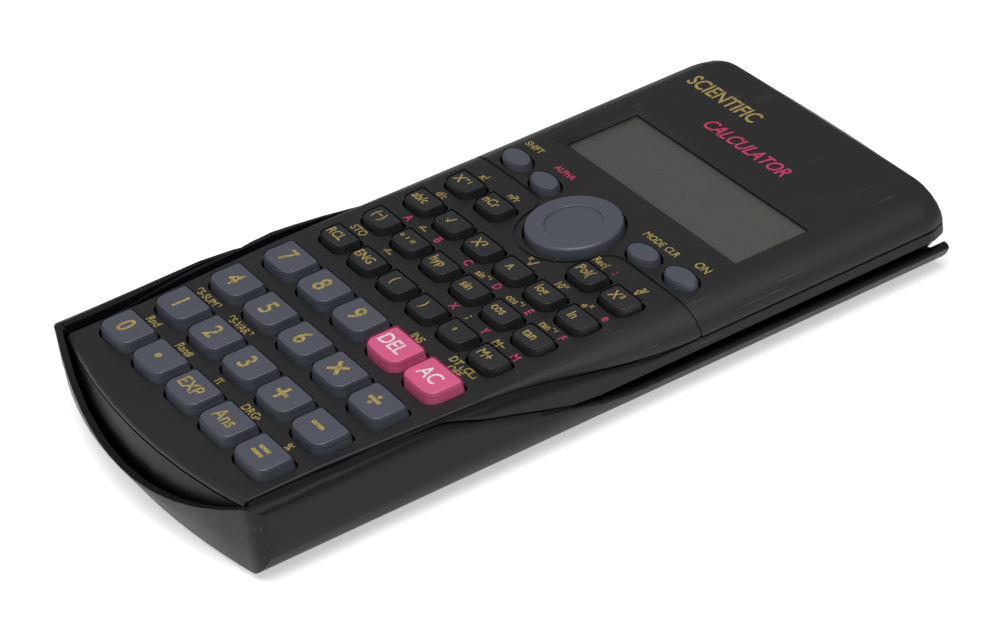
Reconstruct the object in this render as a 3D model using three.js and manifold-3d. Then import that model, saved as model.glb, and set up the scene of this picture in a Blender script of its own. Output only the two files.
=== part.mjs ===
// Pocket scientific calculator with a slide-on hard cover stored under it.
// Millimetres, +Z up, +Y towards the display end, +X to the right of the keys.
import * as THREE from 'three';
import { mergeVertices } from 'three/addons/utils/BufferGeometryUtils.js';
import Module from 'manifold-3d';

const wasm = await Module();
wasm.setup();

// ---- overall body ----
const HEAD_END = 78.3;
const BODY_HALF_WIDTH = 39.2;
const FACE_HALF_WIDTH = 33.9;
const FACE_Z = 14.7;
const WALL = 1.6;
const GAP = 0.35;
const HEAD_CORNER_RADIUS = 6.5;
const HEAD_BOW = 0.0013;
const HEAD_END_ROLL = 2;

// ---- front case edge, from the keyboard half (start) to the head (end) ----
const WIDENING_START_Y = -52.5;
const WIDENING_END_Y = -23.5;
const FACE_WIDENING = 1.6;
const FLARE_START_Y = -25;
const FLARE_END_Y = 22;
const FACE_EDGE_ROLL = 0.5;
const HEAD_ROLL = 8;
const FRONT_EDGE_Z = 13.6;
const HEAD_PARTING_Z = 10.05;

// ---- back case ----
const BACK_BOTTOM_Z = 2.2;
const BACK_FLOOR = 1.5;
const BACK_FLAT_HALF_WIDTH = 32.8;
const BACK_WALL_X = 36.9;
const BACK_RIM_Z = 13.2;
const HEAD_RIM_Z = 9.7;
const BAND_BOTTOM_Z = 7.6;
const SHOULDER_Z = 15.1;
const SHOULDER_X = 39.1;
const SHOULDER_GAP = 1.2;

// ---- rounded end of the body, a shallow arc in plan ----
const FACE_END_Y = -71.9;
const FACE_END_BOW = 0.0034;
const FACE_END_ROLL = 1.3;
const BODY_FOOT_Y = -71.2;
const BODY_FOOT_TOP_Z = 6;
const FOOT_BOW = 0.003;
const BODY_END_Y = -72.9;
const BEVEL_BOTTOM_Z = 9.9;
const END_BOW = 0.004;

// ---- slide cover ----
const COVER_END_Y = -75.8;
const COVER_HEAD_Y = 75.6;
const COVER_HEAD_BOW = 1;
const COVER_END_BOW = 0.005;
const COVER_PLATE = 1.6;
const COVER_END_WALL = 1.3;
const COVER_RIM_Z = 15.3;
const COVER_LIP_Z = 5.2;
const COVER_FALL_START_Y = -38;
const COVER_FALL_END_Y = 10;
const COVER_INNER_X = 37.25;
const COVER_RIM_INNER_X = 35.5;
const COVER_RIM_UNDERSIDE_Z = 13.6;
const COVER_FLAT_HALF_WIDTH = 32;
const COVER_SIDE_RADIUS = 7;
const COVER_RIM_RADIUS = 2.3;
const SCOOP_Z = 7.2;
const SCOOP_HALF_WIDTH = 37;
const SCOOP_FAR_Y = -67.6;
const COVER_FOOT_Y = -72.65;
const COVER_LEAN_TOP_Z = 7;

// ---- keys ----
const NUMBER_PITCH_X = 12.86;
const NUMBER_PITCH_Y = 11.3;
const NUMBER_ROW_Y = -59.4;
const NUMBER_KEY = { width: 11, depth: 7.6, bulge: 0.35, topCorner: 1, bottomCorner: 2.1, topZ: 16.6 };
const FUNCTION_PITCH_X = 10.64;
const FUNCTION_PITCH_Y = 9.2;
const FUNCTION_ROW_Y = -14.5;
const FUNCTION_KEY = { width: 8.6, depth: 5.4, bulge: 0.25, topCorner: 0.9, bottomCorner: 1.7, topZ: 16.05 };
const OVAL_KEY = { radiusX: 4.3, radiusY: 2.6, topZ: 16 };
const KEY_EDGE = 0.45;
const KEY_TAPER = 0.2;
const KEY_FLANGE = 0.6;
const KEY_FLANGE_TOP_Z = 12.8;
const KEY_FLANGE_BOTTOM_Z = 12.1;
const PAD = { x: 0, y: 20.5, radiusX: 9.6, radiusY: 9.2, topZ: 16.4, dishRadius: 5.8, dishDepth: 0.5 };
const PAD_FLANGE_TOP_Z = 12.2;
const PAD_FLANGE_BOTTOM_Z = 11.6;
const PIVOT = { radius: 2.4, bottomZ: 11.1, topZ: 13, pocketRadius: 3.2, pocketTopZ: 13.5 };

// ---- waist groove across the face, under the oval keys ----
const WAIST_Y = 21.4;
const WAIST_RADIUS = 11.2;
const WAIST_FILLET = 4;
const WAIST_WIDTH = 0.7;
const WAIST_DEPTH = 0.35;

// ---- display ----
const WINDOW = { halfWidth: 28.3, bottomY: 36.8, topY: 53.1, bezel: 2.7, ledgeZ: 13.5 };
const LENS_THICKNESS = 0.5;
const LCD = { halfWidth: 30.5, bottomY: 34.2, topY: 55, bottomZ: 11, topZ: 12.6 };
const CONNECTOR = { halfWidth: 24, bottomY: 34.8, topY: 36.8, bottomZ: 9, topZ: 10.7 };

// ---- inside ----
const BOARD = { halfWidth: 31.4, bottomY: -65.5, topY: 56, bottomZ: 7.5, topZ: 8.7 };
const MAT = { halfWidth: 31.2, bottomY: -65, topY: 32, bottomZ: 9, topZ: 10.6 };
const POST_RADIUS = 2;
const CELL = { x: 14, y: 65.5, radius: 5.8, bottomZ: 3.9, topZ: 9.3 };
const BAY = { x: 12.4, y: 65.5, halfX: 10.8, halfY: 7, wall: 1.3, topZ: 8.9 };
const DOOR_SCREW = { x: 4.6, shank: 0.8, head: 1.9, headDepth: 0.7, length: 4.6 };
const CONTACT = { halfWidth: 2.5, bottomY: 53, topY: 68, bottomZ: 9.6, topZ: 9.9, legZ: 9 };

const smoothStep = THREE.MathUtils.smoothstep;
const lerp = THREE.MathUtils.lerp;

// ---------- solids ----------

/** Turns a closed BufferGeometry into a Manifold solid. */
function toSolid(geometry) {
  const bare = geometry.clone();
  bare.deleteAttribute('normal');
  bare.deleteAttribute('uv');
  const merged = mergeVertices(bare, 1e-5);
  const vertProperties = new Float32Array(merged.attributes.position.array);
  const triVerts = new Uint32Array(merged.index.array);
  return new wasm.Manifold(new wasm.Mesh({ numProp: 3, vertProperties, triVerts }));
}

/** Turns a Manifold solid into a named mesh. */
function toMesh(name, solid, material) {
  const result = solid.getMesh();
  const geometry = new THREE.BufferGeometry();
  geometry.setAttribute('position', new THREE.BufferAttribute(result.vertProperties, 3));
  geometry.setIndex(new THREE.BufferAttribute(result.triVerts, 1));
  return namedMesh(name, geometry, material);
}

function namedMesh(name, geometry, material) {
  const mesh = new THREE.Mesh(geometry, material.clone());
  mesh.name = name;
  return mesh;
}

/** Joins closed rings of equal length into one solid skin, with flat caps at both ends. */
function loft(loops, flatten) {
  const clockwise = THREE.ShapeUtils.isClockWise(loops[0].map(flatten));
  const rings = clockwise ? loops.map((loop) => [...loop].reverse()) : loops;
  const count = rings[0].length;
  const positions = rings.flat().flatMap((point) => [point.x, point.y, point.z]);
  const index = [];
  for (let ring = 0; ring + 1 < rings.length; ring += 1) {
    for (let i = 0; i < count; i += 1) {
      const a = ring * count + i;
      const b = ring * count + ((i + 1) % count);
      index.push(a, b, b + count, a, b + count, a + count);
    }
  }
  const top = (rings.length - 1) * count;
  for (const [a, b, c] of THREE.ShapeUtils.triangulateShape(rings[0].map(flatten), [])) {
    index.push(a, c, b);
  }
  for (const [a, b, c] of THREE.ShapeUtils.triangulateShape(rings.at(-1).map(flatten), [])) {
    index.push(top + a, top + b, top + c);
  }
  const geometry = new THREE.BufferGeometry();
  geometry.setAttribute('position', new THREE.Float32BufferAttribute(positions, 3));
  geometry.setIndex(index);
  return outward(geometry);
}

/** Turns every face round when the volume comes out negative. */
function outward(geometry) {
  const { array } = geometry.attributes.position;
  const index = geometry.index.array;
  const corner = (i) => new THREE.Vector3().fromArray(array, index[i] * 3);
  let volume = 0;
  for (let i = 0; i < index.length; i += 3) {
    volume += corner(i).dot(corner(i + 1).cross(corner(i + 2)));
  }
  if (volume < 0) {
    for (let i = 0; i < index.length; i += 3) {
      [index[i + 1], index[i + 2]] = [index[i + 2], index[i + 1]];
    }
  }
  return geometry;
}

/** Stack of plan outlines, each given with its height. */
function stack(layers) {
  const rings = layers.map(
    ([outline, z]) => outline.map((point) => new THREE.Vector3(point.x, point.y, z)),
  );
  return loft(rings, (point) => new THREE.Vector2(point.x, point.y));
}

/** Loft along Y of cross-sections given for the right half and mirrored to the left. */
function hullAlong(stations, halfSection) {
  const rings = stations.map((y) => {
    const right = halfSection(y);
    const left = right.filter(([x]) => x > 0).map(([x, z]) => [-x, z]).reverse();
    return [...right, ...left].map(([x, z]) => new THREE.Vector3(x, y, z));
  });
  return toSolid(loft(rings, (point) => new THREE.Vector2(point.x, point.z)));
}

function prism(outline, bottom, top) {
  return toSolid(stack([[outline, bottom], [outline, top]]));
}

function box(x0, x1, y0, y1, z0, z1) {
  const geometry = new THREE.BoxGeometry(x1 - x0, y1 - y0, z1 - z0);
  geometry.translate((x0 + x1) / 2, (y0 + y1) / 2, (z0 + z1) / 2);
  return toSolid(geometry);
}

function cylinder(x, y, radius, bottom, top, sides = 20) {
  const geometry = new THREE.CylinderGeometry(radius, radius, top - bottom, sides);
  geometry.rotateX(Math.PI / 2);
  geometry.translate(x, y, (bottom + top) / 2);
  return toSolid(geometry);
}

// ---------- plan outlines ----------

function ellipse(x, y, radiusX, radiusY, points, tilt = 0) {
  return Array.from({ length: points }, (_, i) => {
    const angle = (i / points) * 2 * Math.PI;
    const point = new THREE.Vector2(radiusX * Math.cos(angle), radiusY * Math.sin(angle));
    return point.rotateAround(new THREE.Vector2(), tilt).add(new THREE.Vector2(x, y));
  });
}

function rectangle(halfWidth, bottomY, topY, x = 0) {
  return [[-1, bottomY], [1, bottomY], [1, topY], [-1, topY]]
    .map(([side, y]) => new THREE.Vector2(x + side * halfWidth, y));
}

/** Quarter-round corner points, from one angle to the next, in quarter turns. */
function corner(cx, cy, radius, startTurn, segments) {
  return Array.from({ length: segments + 1 }, (_, i) => {
    const angle = (startTurn + i / segments) * (Math.PI / 2);
    return new THREE.Vector2(cx + radius * Math.cos(angle), cy + radius * Math.sin(angle));
  });
}

/** Key outline: straight far edge, bowed near edge with larger corners, grown by a margin. */
function keyOutline(key, margin) {
  const halfX = key.width / 2 + margin;
  const halfY = key.depth / 2 + margin;
  const small = key.topCorner + Math.max(margin, -KEY_EDGE);
  const large = key.bottomCorner + margin;
  const points = [
    ...corner(halfX - small, halfY - small, small, 0, 2),
    ...corner(-halfX + small, halfY - small, small, 1, 2),
    ...corner(-halfX + large, -halfY + large, large, 2, 3),
    new THREE.Vector2(0, -halfY),
    ...corner(halfX - large, -halfY + large, large, 3, 3),
  ];
  for (const point of points) {
    if (point.y < 0) {
      point.y -= key.bulge * (1 - (point.x / halfX) ** 2) * Math.min(1, -point.y / halfY);
    }
  }
  return points;
}

const placed = (outline, x, y) => outline.map((point) => new THREE.Vector2(point.x + x, point.y + y));

/** Everything beyond a shallow arc that closes the near end, as a plan mask. */
function endMask(endY, bow, halfWidth, farOutline) {
  const arc = Array.from({ length: 15 }, (_, i) => {
    const x = halfWidth * (1 - (2 * i) / 14);
    return new THREE.Vector2(x, endY + bow * x * x);
  });
  return [...farOutline, ...arc];
}

const farRectangle = (halfWidth) => [new THREE.Vector2(-halfWidth, 120), new THREE.Vector2(halfWidth, 120)];

// ---------- body profile along its length ----------

const BODY_STATIONS = [
  -80, -60, -56, WIDENING_START_Y, -48, -43, -38, -31, -27, -23, -18, -12, -6, 0, 6, 12, 17, 22,
  40, HEAD_END - HEAD_CORNER_RADIUS, HEAD_END - 5, HEAD_END - 2.6, HEAD_END - 1.2, HEAD_END - 0.4, HEAD_END,
];
const flare = (y) => smoothStep(y, FLARE_START_Y, FLARE_END_Y);

/** How far the outline draws in at the rounded head corners. */
function headCorner(y) {
  const inside = Math.max(0, y - (HEAD_END - HEAD_CORNER_RADIUS)) / HEAD_CORNER_RADIUS;
  return HEAD_CORNER_RADIUS * (1 - Math.sqrt(Math.max(0, 1 - inside * inside))) * 0.85;
}

const headDrop = (y) => 0.9 * smoothStep(y, HEAD_END - HEAD_END_ROLL, HEAD_END) ** 2;
const widening = (y) => FACE_WIDENING * THREE.MathUtils.clamp(
  (y - WIDENING_START_Y) / (WIDENING_END_Y - WIDENING_START_Y), 0, 1);
const faceEdge = (y) => lerp(FACE_HALF_WIDTH + widening(y), BODY_HALF_WIDTH, flare(y)) - headCorner(y);
const coverRim = (y) => lerp(COVER_RIM_Z, COVER_LIP_Z, smoothStep(y, COVER_FALL_START_Y, COVER_FALL_END_Y));
const rimInner = (y) => lerp(COVER_RIM_INNER_X, COVER_INNER_X, smoothStep(y, -62, -34));

/** Right half of the front case: flat face with a rolled edge that widens towards the head. */
function frontSection(inset) {
  return (y) => {
    const edge = faceEdge(y) - inset;
    const top = FACE_Z - headDrop(y) - inset;
    const roll = lerp(FACE_EDGE_ROLL, HEAD_ROLL, flare(y));
    const bottom = inset > WAIST_DEPTH ? HEAD_PARTING_Z - 4 : lerp(FRONT_EDGE_Z, HEAD_PARTING_Z, flare(y));
    const rollBottom = Math.max(lerp(FACE_Z - FACE_EDGE_ROLL, HEAD_PARTING_Z, flare(y)), bottom);
    const points = [[0, bottom], [edge, bottom]];
    for (let i = 0; i <= 5; i += 1) {
      const angle = (i / 5) * (Math.PI / 2);
      points.push([
        edge - roll * (1 - Math.cos(angle)),
        rollBottom + 0.01 + (top - rollBottom - 0.01) * Math.sin(angle),
      ]);
    }
    points.push([0, top]);
    return points;
  };
}

/** Right half of the back case, with the shoulder that fills in above the falling cover wall. */
function backSection(y) {
  const drawIn = headCorner(y);
  const fill = smoothStep(y, -31, -23);
  const rim = lerp(BACK_RIM_Z, HEAD_RIM_Z, flare(y));
  const risen = lerp(BACK_RIM_Z, SHOULDER_Z, smoothStep(y, -68, -40));
  const shoulderTop = lerp(risen, HEAD_RIM_Z, Math.min(1, 1.12 * flare(y))) + 0.01;
  const outer = lerp(Math.min(rimInner(y) - GAP, BACK_WALL_X), SHOULDER_X, fill) - drawIn;
  const wall = BACK_WALL_X - drawIn;
  const overhang = Math.min(Math.max(coverRim(y) + GAP, BAND_BOTTOM_Z), shoulderTop - 0.02);
  const underside = y > COVER_FALL_START_Y ? overhang : BACK_RIM_Z - 0.1;
  const radiusX = lerp(1.6, 0.3, flare(y)) * fill + 0.05;
  const radiusZ = Math.min(lerp(2.4, 0.3, flare(y)), 0.8 * (shoulderTop - underside)) * fill + 0.004;
  const inner = Math.min(faceEdge(y) + lerp(SHOULDER_GAP, GAP, flare(y)), outer - radiusX - 0.1);
  const points = [
    [0, BACK_BOTTOM_Z],
    [BACK_FLAT_HALF_WIDTH - drawIn, BACK_BOTTOM_Z],
    [wall - 1.2, 4],
    [wall, 6.6],
    [wall, underside],
    [outer, underside],
  ];
  for (let i = 0; i <= 3; i += 1) {
    const angle = (i / 3) * (Math.PI / 2);
    points.push([
      outer - radiusX * (1 - Math.cos(angle)),
      shoulderTop - radiusZ * (1 - Math.sin(angle)),
    ]);
  }
  points.push([inner, shoulderTop], [inner - 0.01, rim], [0, rim]);
  return points;
}

function backCavitySection(y) {
  const drawIn = headCorner(y);
  const wall = Math.min(BACK_WALL_X - 1.5 - drawIn, faceEdge(y) - WALL);
  const floor = BACK_BOTTOM_Z + BACK_FLOOR;
  return [[0, floor], [wall - 2.2, floor], [wall - 0.6, floor + 0.9], [wall, floor + 3], [wall, 20], [0, 20]];
}

/** Turns of the roll where the face meets its near end, as angles from upright to level. */
const END_ROLL_STEPS = [0, 0.3, 0.6, 0.9, 1.2, 1.57];

/** Everything nearer than the shallow arc that closes the head. */
function headMask(inset) {
  const near = [new THREE.Vector2(-60, -120), new THREE.Vector2(60, -120)];
  const arc = Array.from({ length: 25 }, (_, i) => {
    const x = 60 * (1 - (2 * i) / 24);
    return new THREE.Vector2(x, HEAD_END - 0.02 - inset - HEAD_BOW * x * x);
  });
  return prism([...near, ...arc], -6, 40);
}

/** Everything between the two ends of the body: leaning foot, upright wall, bevel and rolled edge. */
function bodyMask(inset) {
  const width = 60;
  const far = farRectangle(width);
  const near = stack([
    [endMask(BODY_FOOT_Y + inset, FOOT_BOW, width, far), -5],
    [endMask(BODY_FOOT_Y + inset, FOOT_BOW, width, far), BACK_BOTTOM_Z],
    [endMask(BODY_END_Y + inset, END_BOW, width, far), BODY_FOOT_TOP_Z],
    [endMask(BODY_END_Y + inset, END_BOW, width, far), BEVEL_BOTTOM_Z],
    ...END_ROLL_STEPS.map((step) => {
      const y = FACE_END_Y + FACE_END_ROLL * (1 - Math.cos(step)) + inset;
      const z = FACE_Z - FACE_END_ROLL * (1 - Math.sin(step));
      return [endMask(y, FACE_END_BOW, width, far), z];
    }),
    [endMask(FACE_END_Y + FACE_END_ROLL + inset, FACE_END_BOW, width, far), 25],
  ]);
  return toSolid(near).intersect(headMask(inset));
}

const hollowStations = BODY_STATIONS.map((y) => Math.min(y, HEAD_END - WALL))
  .filter((y, i, all) => i === 0 || y > all[i - 1]);

// ---------- key layout ----------

const NUMBER_ROWS = [
  ['0', 'point', 'exp', 'ans', 'equals'],
  ['1', '2', '3', 'plus', 'minus'],
  ['4', '5', '6', 'times', 'divide'],
  ['7', '8', '9', 'del', 'ac'],
];
const FUNCTION_ROWS = [
  ['rcl', 'eng', 'open_bracket', 'close_bracket', 'comma', 'm_plus'],
  ['negative', 'degrees', 'hyp', 'sin', 'cos', 'tan'],
  ['fraction', 'square_root', 'square', 'power', 'log', 'ln'],
  ['inverse', 'combinations', null, null, 'polar', 'cube'],
];
const OVAL_KEYS = [
  { name: 'shift', x: -27.8, y: 25.4, tilt: -0.05 },
  { name: 'alpha', x: -16.8, y: 24.7, tilt: -0.05 },
  { name: 'mode', x: 16.8, y: 24.7, tilt: 0.05 },
  { name: 'on', x: 27.8, y: 25.4, tilt: 0.05 },
];

const keys = [];
NUMBER_ROWS.forEach((row, j) => row.forEach((name, i) => {
  const x = (i - 2) * NUMBER_PITCH_X;
  const y = NUMBER_ROW_Y + j * NUMBER_PITCH_Y;
  const colour = name === 'del' || name === 'ac' ? 'pink' : 'slate';
  const outline = (margin) => placed(keyOutline(NUMBER_KEY, margin), x, y);
  keys.push({ name, colour, topZ: NUMBER_KEY.topZ, outline });
}));
FUNCTION_ROWS.forEach((row, j) => row.forEach((name, i) => {
  const x = (i - 2.5) * FUNCTION_PITCH_X;
  const y = FUNCTION_ROW_Y + j * FUNCTION_PITCH_Y;
  if (name) {
    const outline = (margin) => placed(keyOutline(FUNCTION_KEY, margin), x, y);
    keys.push({ name, colour: 'black', topZ: FUNCTION_KEY.topZ, outline });
  }
}));
for (const { name, x, y, tilt } of OVAL_KEYS) {
  const outline = (m) => ellipse(x, y, OVAL_KEY.radiusX + m, OVAL_KEY.radiusY + m, 16, tilt);
  keys.push({ name, colour: 'slate', topZ: OVAL_KEY.topZ, outline });
}
const padOutline = (margin) => ellipse(PAD.x, PAD.y, PAD.radiusX + margin, PAD.radiusY + margin, 28);

// ---------- pieces ----------

function keyGeometry({ outline, topZ }) {
  return stack([
    [outline(KEY_FLANGE), KEY_FLANGE_BOTTOM_Z],
    [outline(KEY_FLANGE), KEY_FLANGE_TOP_Z],
    [outline(0), KEY_FLANGE_TOP_Z],
    [outline(-KEY_TAPER), topZ - KEY_EDGE],
    [outline(-KEY_TAPER - KEY_EDGE), topZ],
  ]);
}

/** Points along an arc about a centre, between two angles. */
function arcPoints(cx, cy, radius, start, end, segments) {
  return Array.from({ length: segments + 1 }, (_, i) => {
    const angle = lerp(start, end, i / segments);
    return new THREE.Vector2(cx + radius * Math.cos(angle), cy + radius * Math.sin(angle));
  });
}

/** Ribbon that crosses the face at the waist, sweeping into an arc round the near side of the pad. */
function waistRibbon() {
  const filletY = WAIST_Y - WAIST_FILLET;
  const reach = WAIST_RADIUS + WAIST_FILLET;
  const filletX = Math.sqrt(reach ** 2 - (filletY - PAD.y) ** 2);
  const turn = Math.atan2(filletY - PAD.y, filletX);
  const side = (offset) => {
    const fillet = WAIST_FILLET + offset;
    const right = arcPoints(filletX, filletY, fillet, Math.PI / 2, Math.PI + turn, 6);
    const round = arcPoints(PAD.x, PAD.y, WAIST_RADIUS - offset, turn, -Math.PI - turn, 14);
    const left = right.map((point) => new THREE.Vector2(-point.x, point.y)).reverse();
    const y = WAIST_Y + offset;
    return [new THREE.Vector2(50, y), ...right, ...round.slice(1, -1), ...left, new THREE.Vector2(-50, y)];
  };
  const upper = side(WAIST_WIDTH / 2);
  const lower = side(-WAIST_WIDTH / 2);
  return prism([...upper, ...lower.reverse()], 5, 20);
}

function windowOpening() {
  const { halfWidth, bottomY, topY, bezel, ledgeZ } = WINDOW;
  const slope = stack([
    [rectangle(halfWidth, bottomY, topY), ledgeZ],
    [rectangle(halfWidth + bezel, bottomY - bezel * 0.9, topY + bezel * 0.9), FACE_Z + 0.001],
  ]);
  return toSolid(slope).add(prism(rectangle(halfWidth, bottomY, topY), 8, ledgeZ + 0.001));
}

function frontCase() {
  let solid = hullAlong(BODY_STATIONS, frontSection(0)).intersect(bodyMask(0));
  const hollow = hullAlong(hollowStations, frontSection(WALL)).intersect(bodyMask(WALL));
  const skin = hullAlong(BODY_STATIONS, frontSection(WAIST_DEPTH));
  solid = solid.subtract(hollow).subtract(waistRibbon().subtract(skin));
  for (const key of keys) {
    solid = solid.subtract(prism(key.outline(GAP), 5, 20));
  }
  return solid.subtract(prism(padOutline(0.6), 5, 20)).subtract(windowOpening());
}

function batteryBay() {
  const { x, y, halfX, halfY, wall, topZ } = BAY;
  const floor = BACK_BOTTOM_Z + BACK_FLOOR - 0.3;
  const walls = box(x - halfX - wall, x + halfX + wall, y - halfY - wall, y + halfY + wall, floor, topZ);
  const room = box(x - halfX, x + halfX, y - halfY, y + halfY, floor - 5, topZ + 5);
  const boss = box(x - halfX - 0.5, DOOR_SCREW.x + 2, y - 2.6, y + 2.6, floor + 1, topZ);
  return { walls, room, boss };
}

function supportPosts() {
  const places = [[-26, 27], [26, 27], [-26, -20], [26, -20], [-26, -62], [26, -62]];
  return places.map(([x, y]) => cylinder(x, y, POST_RADIUS, BACK_BOTTOM_Z + 1, BOARD.bottomZ - 0.3, 10));
}

function backCase() {
  const shell = hullAlong(BODY_STATIONS, backSection).intersect(bodyMask(0));
  const hollow = hullAlong(hollowStations, backCavitySection).intersect(bodyMask(WALL));
  const bay = batteryBay();
  let solid = shell.subtract(hollow);
  for (const post of supportPosts()) {
    solid = solid.add(post);
  }
  solid = solid.add(bay.walls).subtract(bay.room).add(bay.boss);
  return solid.subtract(cylinder(DOOR_SCREW.x, BAY.y, DOOR_SCREW.shank + 0.3, 0, 8, 12));
}

function batteryCover() {
  const { x, y, halfX, halfY } = BAY;
  const inside = 0.3;
  const outline = [
    ...corner(x + halfX - inside - 1, y + halfY - inside - 1, 1, 0, 2),
    ...corner(x - halfX + inside + 1, y + halfY - inside - 1, 1, 1, 2),
    ...corner(x - halfX + inside + 1, y - halfY + inside + 1, 1, 2, 2),
    ...corner(x + halfX - inside - 1, y - halfY + inside + 1, 1, 3, 2),
  ];
  const plate = prism(outline, BACK_BOTTOM_Z, BACK_BOTTOM_Z + 1.3);
  const hole = cylinder(DOOR_SCREW.x, y, DOOR_SCREW.shank + 0.3, 0, 8, 12);
  const seatTop = BACK_BOTTOM_Z + DOOR_SCREW.headDepth;
  const seat = cylinder(DOOR_SCREW.x, y, DOOR_SCREW.head + 0.3, 0, seatTop, 16);
  return plate.subtract(hole).subtract(seat);
}

function batteryScrew() {
  const { x, shank, head, headDepth, length } = DOOR_SCREW;
  const bottom = BACK_BOTTOM_Z + 0.05;
  const shankBottom = bottom + headDepth - 0.35;
  return cylinder(x, BAY.y, head, bottom, shankBottom, 16)
    .add(cylinder(x, BAY.y, shank, shankBottom - 0.1, bottom + length, 12))
    .subtract(box(x - 1.3, x + 1.3, BAY.y - 0.25, BAY.y + 0.25, 0, bottom + 0.2))
    .subtract(box(x - 0.25, x + 0.25, BAY.y - 1.3, BAY.y + 1.3, 0, bottom + 0.2));
}

/** Right half of the cover's outside: flat plate, large lower radius, rounded rim or lip. */
function coverSection(y) {
  const rim = coverRim(y);
  const points = [[0, 0]];
  const bendTop = Math.min(COVER_SIDE_RADIUS, rim - 0.9);
  const bendAngle = Math.acos(1 - bendTop / COVER_SIDE_RADIUS);
  for (let i = 0; i <= 5; i += 1) {
    const angle = (i / 5) * bendAngle;
    points.push([
      COVER_FLAT_HALF_WIDTH + (BODY_HALF_WIDTH - COVER_FLAT_HALF_WIDTH) * Math.sin(angle),
      COVER_SIDE_RADIUS * (1 - Math.cos(angle)),
    ]);
  }
  const side = points.at(-1)[0];
  const room = side - rimInner(y);
  const radiusX = Math.min(COVER_RIM_RADIUS, room * 0.6);
  const radiusZ = Math.min(COVER_RIM_RADIUS, (rim - bendTop) * 0.9);
  for (let i = 0; i <= 3; i += 1) {
    const angle = (i / 3) * (Math.PI / 2);
    points.push([side - radiusX * (1 - Math.cos(angle)), rim - radiusZ * (1 - Math.sin(angle))]);
  }
  points.push([0, rim]);
  return points;
}

function coverCavitySection(y) {
  const inner = rimInner(y);
  return [
    [0, COVER_PLATE], [31.8, COVER_PLATE], [35.2, 2.4], [COVER_INNER_X, 5.2],
    [COVER_INNER_X, COVER_RIM_UNDERSIDE_Z - 0.4], [inner, COVER_RIM_UNDERSIDE_Z], [inner, 30], [0, 30],
  ];
}

/** Dip in the end wall's rim, where a fingertip pushes the calculator out. */
function fingerScoop() {
  const depth = COVER_RIM_Z - SCOOP_Z;
  const profile = Array.from({ length: 13 }, (_, i) => {
    const x = SCOOP_HALF_WIDTH * (1 - (2 * i) / 12);
    return new THREE.Vector3(x, 0, SCOOP_Z + depth * (x / SCOOP_HALF_WIDTH) ** 2);
  });
  const sky = [-SCOOP_HALF_WIDTH, SCOOP_HALF_WIDTH].map((x) => new THREE.Vector3(x, 0, 30));
  const ring = [...sky, ...profile];
  const at = (y) => ring.map((point) => new THREE.Vector3(point.x, y, point.z));
  return toSolid(loft([at(-90), at(SCOOP_FAR_Y)], (point) => new THREE.Vector2(point.x, point.z)));
}

function slideCover() {
  const half = BODY_HALF_WIDTH;
  const headEdge = Array.from({ length: 7 }, (_, i) => {
    const x = half * ((2 * i) / 6 - 1);
    return new THREE.Vector2(x, COVER_HEAD_Y + COVER_HEAD_BOW * (x / half) ** 2);
  });
  const outline = (endY, bow) => {
    const arc = Array.from({ length: 17 }, (_, i) => {
      const x = 35.5 * (1 - (2 * i) / 16);
      return new THREE.Vector2(x, endY + bow * x * x);
    });
    const cornerY = arc[0].y;
    const right = [
      new THREE.Vector2(half + 0.2, cornerY + 5),
      new THREE.Vector2(half - 0.25, cornerY + 2.6),
      new THREE.Vector2(half - 1.2, cornerY + 1.1),
      new THREE.Vector2(half - 2.3, cornerY + 0.35),
    ];
    const left = right.map((point) => new THREE.Vector2(-point.x, point.y)).reverse();
    return [...headEdge, ...right, ...arc, ...left];
  };
  headEdge[0].x = -half - 0.2;
  headEdge[headEdge.length - 1].x = half + 0.2;
  const plan = toSolid(stack([
    [outline(COVER_FOOT_Y + 0.7, FOOT_BOW), -1],
    [outline(COVER_FOOT_Y + 0.7, FOOT_BOW), 0],
    [outline(COVER_FOOT_Y, FOOT_BOW), 0.8],
    [outline(COVER_END_Y, COVER_END_BOW), COVER_LEAN_TOP_Z],
    [outline(COVER_END_Y, COVER_END_BOW), 20],
  ]));
  const stations = BODY_STATIONS.filter((y) => y < 70).concat(90);
  const outside = hullAlong(stations, coverSection).intersect(plan);
  const width = 60;
  const far = farRectangle(width);
  const room = toSolid(stack([
    [endMask(COVER_FOOT_Y + COVER_END_WALL, FOOT_BOW, width, far), 0.8],
    [endMask(COVER_END_Y + COVER_END_WALL, COVER_END_BOW, width, far), COVER_LEAN_TOP_Z],
    [endMask(COVER_END_Y + COVER_END_WALL, COVER_END_BOW, width, far), 40],
  ]));
  const hollow = hullAlong(stations, coverCavitySection).intersect(room);
  return outside.subtract(hollow).subtract(fingerScoop());
}

function cursorPad() {
  const body = toSolid(stack([
    [padOutline(0.7), PAD_FLANGE_BOTTOM_Z],
    [padOutline(0.7), PAD_FLANGE_TOP_Z],
    [padOutline(0), PAD_FLANGE_TOP_Z],
    [padOutline(-0.1), PAD.topZ - 0.6],
    [padOutline(-0.7), PAD.topZ],
  ]));
  const dish = stack([
    [ellipse(PAD.x, PAD.y, PAD.dishRadius - 0.5, PAD.dishRadius - 0.5, 24), PAD.topZ - PAD.dishDepth],
    [ellipse(PAD.x, PAD.y, PAD.dishRadius, PAD.dishRadius, 24), PAD.topZ + 0.1],
  ]);
  const pocket = cylinder(PAD.x, PAD.y, PIVOT.pocketRadius, 5, PIVOT.pocketTopZ, 16);
  return body.subtract(toSolid(dish)).subtract(pocket);
}

function cursorPivot() {
  const { radius, bottomZ, topZ } = PIVOT;
  return stack([
    [ellipse(PAD.x, PAD.y, radius, radius, 12), bottomZ],
    [ellipse(PAD.x, PAD.y, radius, radius, 12), topZ - 0.8],
    [ellipse(PAD.x, PAD.y, radius - 0.9, radius - 0.9, 12), topZ],
  ]);
}

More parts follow.
